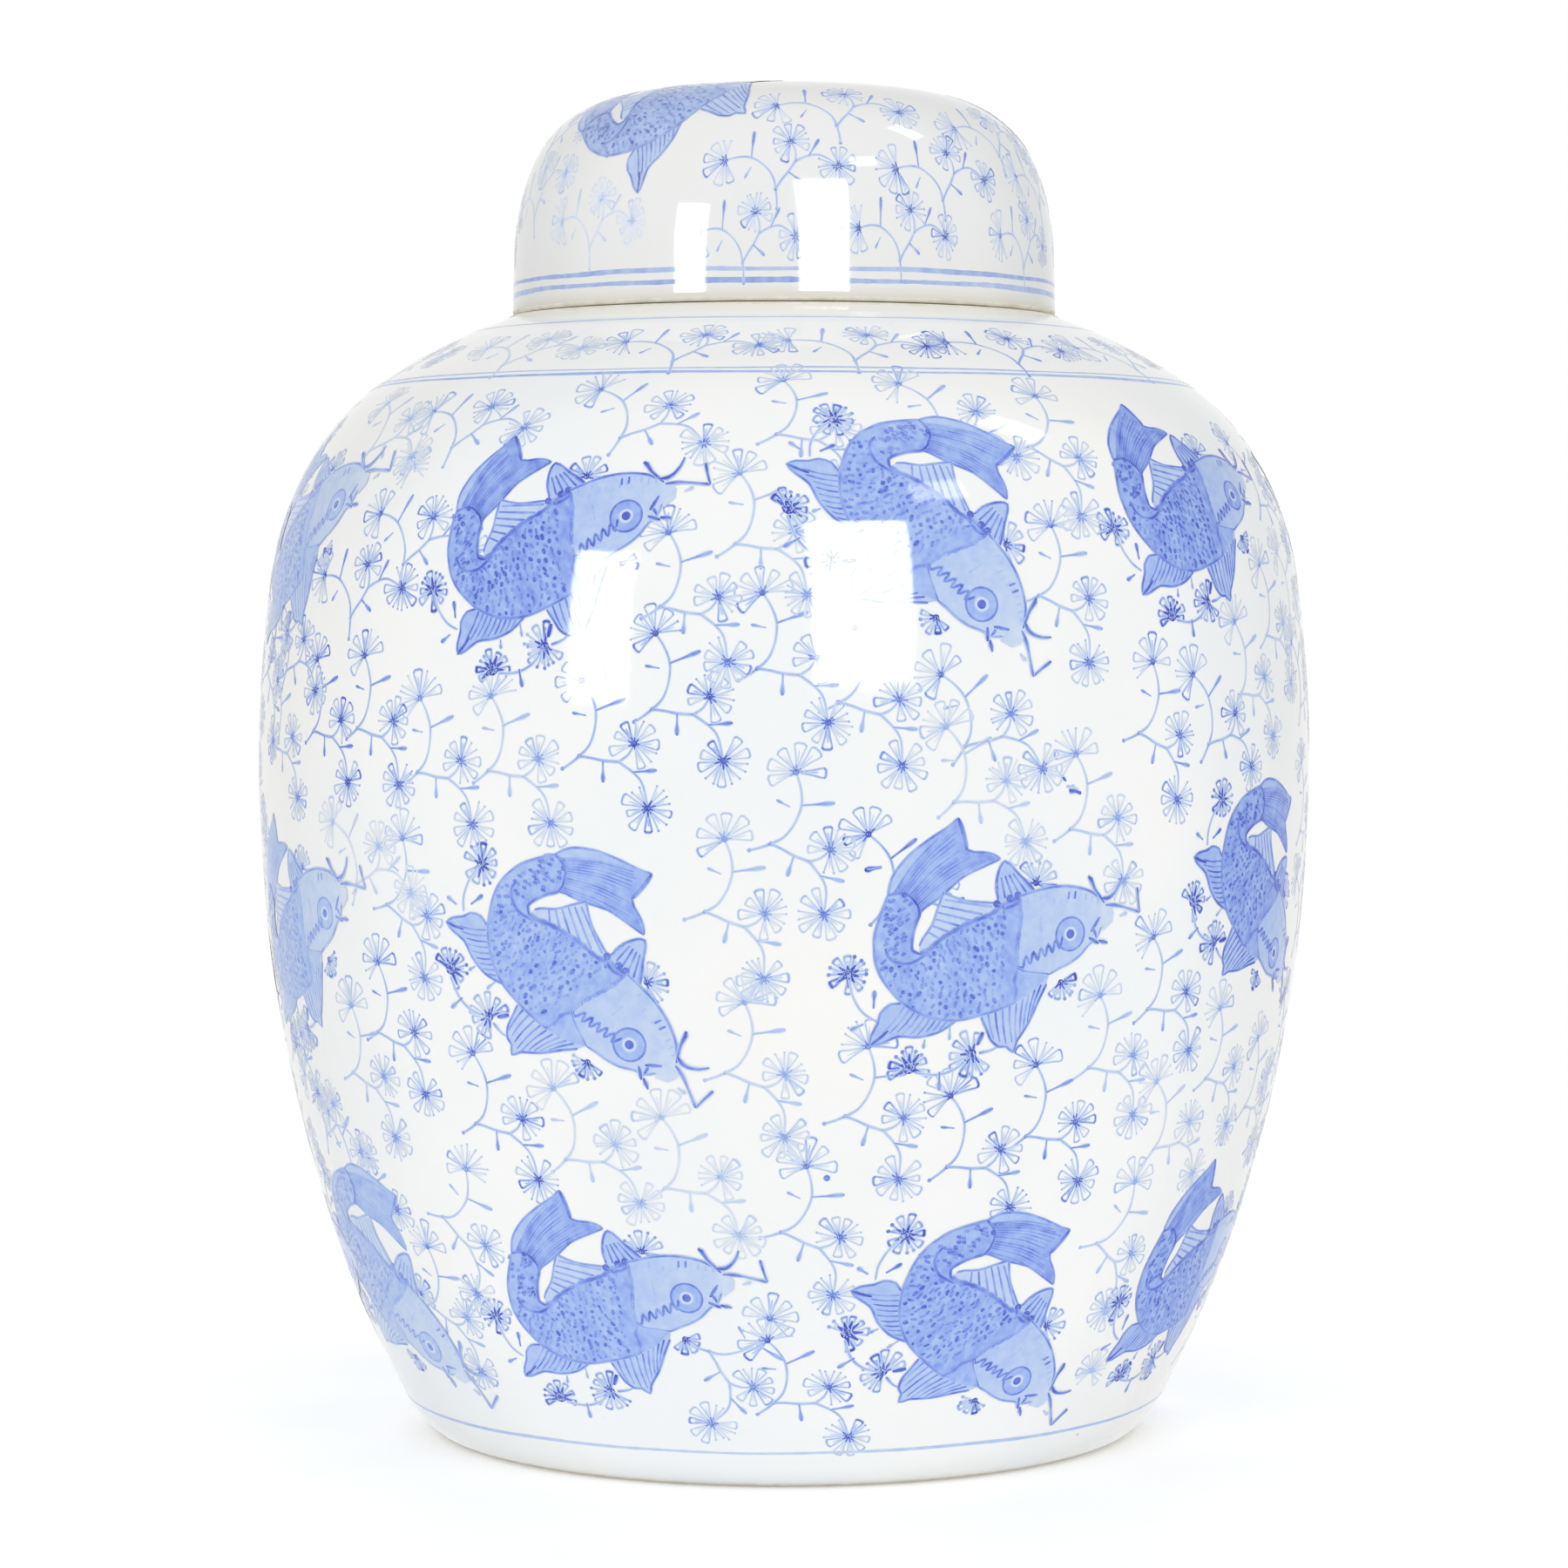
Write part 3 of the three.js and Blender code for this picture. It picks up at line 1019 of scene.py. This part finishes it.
# Each sprig: longitude, run, turn, ink.
SPRIG_FRONT = [
    (-57.9, 162, 0, 0.75), (-49.2, 163, -4, 0.65), (-39.8, 154.6, 0, 0.5), (-30.7, 155.3, 0, 0.4),
    (-43.5, 196.3, 45, 0.6), (-51.6, 185.5, 56, 0.7), (-40.8, 221.5, 51, 0.5), (-56.5, 221.5, 30, 0.3),
    (-18.5, 223.2, 31, 0.5), (-0.8, 223.8, -3, 0.45), (-4.9, 200.2, 0, 0.4), (-12.4, 187.8, -3, 0.5),
    (-2.6, 175.8, -2, 0.55), (-13, 167.8, 0, 0.65), (-20.5, 158.5, 0, 0.65), (5.5, 169.2, -10, 0.5),
    (18, 160.5, 20, 0.5), (17.2, 223.5, 20, 0.45), (28.3, 221.3, -25, 0.45), (26.6, 190, -15, 0.5),
    (38.3, 162.5, -16, 0.6), (48.8, 159.8, 19, 0.6), (55.2, 169.8, 4, 0.4), (62.3, 181.7, 0, 0.4),
    (-69, 158, 0, 0.5), (-50, 131, 33, 0.25), (-45, 127.5, -21, 0.45), (-48.6, 100.8, -9, 0.6),
    (-54.8, 91.3, -12, 0.4), (-66, 75.5, 30, 0.4), (-35.2, 83.5, -4, 0.6), (-24.2, 77.2, 6, 0.3),
    (-1.3, 141.7, -18, 0.5), (-7.8, 128.3, -14, 0.4), (-6, 96.2, -14, 0.35), (10, 129.1, 15, 0.7),
    (16.9, 149.6, 8, 0.3), (6.4, 87.3, -15, 0.5), (17.8, 76.2, 3, 0.65), (-13, 72, 1, 0.25),
    (29.7, 143.8, -3, 0.4), (41.2, 106.5, 2, 0.55), (33.8, 95.3, -3, 0.4), (26.8, 81.8, -1, 0.65),
    (53, 90.3, -5, 0.4), (45.5, 76.5, 12, 0.3), (64.8, 82, 0, 0.4), (-43, 62.2, -39, 0.45),
    (-50.3, 41, -20, 0.45), (-0.3, 63, -18, 0.5), (-9.2, 36.2, -57, 0.5), (-1.3, 24.2, 6, 0.6),
    (39.2, 57, -29, 0.4),
]
CARP_BACK = [
    (96, 207, -62, 1, 1), (138, 203, 5, 0.9, 1), (180, 205, -60, 1.05, 1), (222, 202, 4, 1, 1),
    (262, 206, -58, 1.1, 1), (104, 121, 2, 1.1, 1), (146, 125, -57, 1, 1), (189, 119, 3, 0.95, 1),
    (232, 123, -58, 1, 1), (268, 117, -50, 1, 1), (108, 40, -57, 1, 1), (150, 47, 2, 1.05, 1),
    (193, 41, -58, 1, 1), (236, 45, 0, 0.9, 1), (276, 44, -4, 1, 1),
]
SHOULDER_RUN = 245.5
SHOULDER_TURN = 57
# Each shoulder sprig: longitude, ink, and a scale for each flower's ink. The loop goes round the back.
SHOULDER_SPRIGS = [
    (-42, 0.3, (1, 1, 1)), (-15, 0.55, (1, 1, 1)), (9.5, 0.5, (1, 1, 1.7)), (33.5, 0.7, (1.6, 1, 1)),
]
for k in range(10):
    ink = 0.4 + 0.15 * (k % 3 == 0) - 0.1 * (k % 4 == 1)
    SHOULDER_SPRIGS.append((59 + 25.2 * k, ink, (1, 1 + 0.4 * (k % 5 == 2), 1)))
# Each sprig on the lid: longitude, run, turn, ink. The loops go round the back.
LID_SPRIGS = [
    (-43.8, 12.2, 60, 0.25), (-8.3, 8.2, 60, 0.55), (24, 9, 60, 0.6), (59.5, 9, 60, 0.5),
    (-66, 20, 75, 0.3), (-1.7, 23.5, 60, 0.6), (34.7, 22, 60, 0.65),
    (12, 38, 60, 0.55), (56, 33, 60, 0.5),
    (28, 67, 60, 0.5), (150, 65, 60, 0.45), (271, 65, 60, 0.5),
    (118, 34, 60, 0.4), (175, 38, 60, 0.5), (243, 35, 60, 0.4), (290, 36, 60, 0.45),
]
LID_SPRIGS += [(94 + 34.5 * k, 9.5, 60, 0.45) for k in range(6)]
LID_SPRIGS += [(71.2 + 36.5 * k, 22.5, 60, 0.45) for k in range(6)]
LID_SPRIG_SIZE = 0.95
# Each carp on the lid: longitude, run, turn, strength of ink.
LID_CARP = [(-30, 57.6, 50, 0.98), (108, 58, 48, 1), (224, 57, 52, 0.95)]

# How far apart the middles of the scattered sprigs keep from the rest, in millimetres.
CARP_ROOM = 27
FRONT_SPRIG_ROOM = 15
BACK_SPRIG_ROOM = 17
SPRIG_MIDDLE = (5, 3)
SCATTER_TRIES = 4000
BACK_LONGITUDES = (66, 300)
BACK_RUNS = (20, 226)
BACK_TURNS = (-22, 26)
BACK_INKS = (0.3, 0.4, 0.45, 0.5, 0.6, 0.65)


def paint_carp(name, place, strength, paint, flowers=True):
    b = Brush(place, strength)
    b.lift += CARP_LIFT
    carp(b, random.Random(name), flowers)
    b.piece(name, *paint)


def paint_sprig(name, place, ink, paint, size=1.0, boost=(1, 1, 1)):
    b = Brush(place)
    sprig(b, ink, random.Random(name), size, boost)
    b.piece(name, *paint)


def paint_jar():
    for i, (lon, run, turn, ink) in enumerate(SPRIG_FRONT + back_sprigs()):
        paint_sprig(f"jar_sprig_{i + 1}", belt_place(JAR_WALL, lon, run, turn), ink, JAR_PAINT)
    for i, (lon, run, turn, strength, size) in enumerate(CARP_FRONT + CARP_BACK):
        place = belt_place(JAR_WALL, lon, run, turn, size)
        paint_carp(f"jar_carp_{i + 1}", place, strength, JAR_PAINT)
    for i, (lon, ink, boost) in enumerate(SHOULDER_SPRIGS):
        place = belt_place(JAR_WALL, lon, SHOULDER_RUN, SHOULDER_TURN)
        paint_sprig(f"shoulder_sprig_{i + 1}", place, ink, JAR_PAINT, boost=boost)
    paint_stray_marks()


def paint_stray_marks():
    """Slips of the brush: a drop with its tail, a loose leaf, a dot, and two flowers with no stem."""
    b = Brush(belt_place(JAR_WALL, 29.8, 151.7))
    b.drop((2.2, -0.9), (-0.6, 0.2), 2, 0.95)
    b.stroke([(-2.9, 3), (-2, 2.2), (-1.4, 1.6)], [0.4, 0.8, 0.5], 0.85)
    b.piece("jar_slip_drop", *JAR_PAINT)
    b = Brush(belt_place(JAR_WALL, 8.6, 136.7))
    b.drop((2, 0.3), (-1.4, -0.2), 1.2, 0.9)
    b.piece("jar_slip_leaf", *JAR_PAINT)
    b = Brush(belt_place(JAR_WALL, 4.6, 74.5))
    b.dot((0, 0), 0.7, 0.6)
    b.piece("jar_slip_dot", *JAR_PAINT)
    for i, (lon, run, facing) in enumerate(((45, 26.5, 80), (-46, 217.5, 110))):
        b = Brush(belt_place(JAR_WALL, lon, run))
        flower(b, (0, 0), facing, 260, 4.8, 0.3, random.Random(i))
        b.piece(f"jar_lone_flower_{i + 1}", *JAR_PAINT)


def back_sprigs():
    """Sprigs scattered over the far side, wherever there is room between the carp and each other."""
    dice = random.Random(7)
    taken = [(lon, run, CARP_ROOM) for lon, run, *_ in CARP_FRONT + CARP_BACK]
    taken += [(lon, run, FRONT_SPRIG_ROOM) for lon, run, *_ in SPRIG_FRONT]
    out = []
    for _ in range(SCATTER_TRIES):
        lon, run = dice.uniform(*BACK_LONGITUDES), dice.uniform(*BACK_RUNS)
        turn = dice.uniform(*BACK_TURNS)
        middle_lon = lon + math.degrees(SPRIG_MIDDLE[0] / JAR_WALL.radius_at(run))
        middle_run = run + SPRIG_MIDDLE[1]
        if all(apart(middle_lon, middle_run, other) for other in taken):
            out.append((lon, run, turn, dice.choice(BACK_INKS)))
            taken.append((middle_lon, middle_run, BACK_SPRIG_ROOM))
    return out


def apart(lon, run, other):
    """True if a place on the jar is further from another (longitude, run, room) than its room."""
    gap = (lon - other[0] + 180) % 360 - 180
    return math.hypot(math.radians(gap) * JAR_WALL.radius_at(run), run - other[1]) > other[2]


def paint_lid():
    for i, (lon, run, turn, ink) in enumerate(LID_SPRIGS):
        place = cap_place(LID_WALL, lon, run, turn)
        paint_sprig(f"lid_sprig_{i + 1}", place, ink, LID_PAINT, LID_SPRIG_SIZE)
    for i, (lon, run, turn, strength) in enumerate(LID_CARP):
        place = cap_place(LID_WALL, lon, run, turn)
        paint_carp(f"lid_carp_{i + 1}", place, strength, LID_PAINT, flowers=False)


paint_jar()
paint_lid()


# ---- studio


FLOOR_SIZE = 1.2
FLOOR_GLOW = 0.14
SOFTBOX_DISTANCE = 2.2
SOFTBOX_AIM = Vector((0, 0, 0.15))
# How bright the glaze sees its surroundings: 0 is beside and in front of the jar, 1 straight behind it.
SCREENS = [(0.0, 0.98), (0.3, 0.5), (0.7, 0.55), (1.0, 0.97)]
CAMERA_LENS = 104.1
CAMERA_SENSOR = 36
CAMERA_SPOT = (0, -0.9943, 0.1823)
CAMERA_TILT = math.radians(87.58)


def stage_floor():
    """The paper under the jar, which doesn't show in its gloss."""
    bpy.ops.mesh.primitive_plane_add(size=FLOOR_SIZE)
    floor = bpy.context.object
    floor.name = "studio_floor"
    floor.location.z = -0.2 * MM
    m, nodes, links, shader = material("studio_paper")
    grain = noise(nodes, links, 30, 4)
    tint = ramp(nodes, links, grain.outputs["Fac"], [(0.3, (0.97, 0.97, 0.97, 1)), (0.7, (1, 1, 1, 1))])
    links.new(tint.outputs["Color"], shader.inputs["Base Color"])
    shader.inputs["Roughness"].default_value = 0.9
    shader.inputs["Specular IOR Level"].default_value = 0.0
    shader.inputs["Emission Color"].default_value = (1, 1, 1, 1)
    shader.inputs["Emission Strength"].default_value = FLOOR_GLOW
    floor.data.materials.append(m)
    floor.visible_glossy = False


def softbox(name, azimuth, elevation, width, height, power, kind):
    """A rectangular light aimed at the jar, seen only in its gloss or only by its matt colour."""
    light = bpy.data.lights.new(name, "AREA")
    light.shape = "RECTANGLE"
    light.size, light.size_y = width, height
    light.energy = power
    lamp = added(name, light)
    a, e = math.radians(azimuth), math.radians(elevation)
    way = Vector((math.sin(a) * math.cos(e), -math.cos(a) * math.cos(e), math.sin(e)))
    lamp.location = SOFTBOX_AIM + way * SOFTBOX_DISTANCE
    lamp.rotation_euler = way.to_track_quat("Z", "Y").to_euler()
    lamp.visible_diffuse = kind == "diffuse"
    lamp.visible_glossy = kind == "glossy"
    lamp.visible_camera = False


def world_light():
    """White all round to the camera. The jar sees grey screens either side of a white back wall, so
    that its rounded sides darken a little before their edges."""
    world = bpy.data.worlds.new("studio")
    bpy.context.scene.world = world
    world.use_nodes = True
    nodes, links = world.node_tree.nodes, world.node_tree.links
    coordinates = nodes.new("ShaderNodeTexCoord")
    parts = nodes.new("ShaderNodeSeparateXYZ")
    links.new(coordinates.outputs["Generated"], parts.inputs["Vector"])
    stops = [(place, (level, level, level, 1)) for place, level in SCREENS]
    screens = ramp(nodes, links, parts.outputs["Y"], stops)
    path = nodes.new("ShaderNodeLightPath")
    seen = mixed(nodes, links, path.outputs["Is Camera Ray"], screens.outputs["Color"], (1, 1, 1, 1))
    links.new(seen, nodes["Background"].inputs["Color"])
    nodes["Background"].inputs["Strength"].default_value = 1.0


def studio():
    world_light()
    softbox("softbox_left", -39, 13.8, 0.50, 0.66, 19, "glossy")
    softbox("softbox_right", 16.5, 20.5, 0.80, 1.04, 49, "glossy")
    softbox("softbox_upper", 40, 42.5, 0.4, 0.2, 1.6, "glossy")
    softbox("softbox_side", 86, 56, 0.24, 0.4, 2.6, "glossy")
    softbox("fill_back", 180, 25, 1.5, 1.5, 14, "diffuse")
    softbox("fill_top", 0, 62, 1.5, 1.5, 2.5, "diffuse")
    bpy.context.scene.view_settings.view_transform = "Standard"


def camera():
    data = bpy.data.cameras.new("camera")
    data.lens = CAMERA_LENS
    data.sensor_width = CAMERA_SENSOR
    eye = added("camera", data)
    eye.location = CAMERA_SPOT
    eye.rotation_euler = (CAMERA_TILT, 0, 0)
    bpy.context.scene.camera = eye


stage_floor()
studio()
camera()
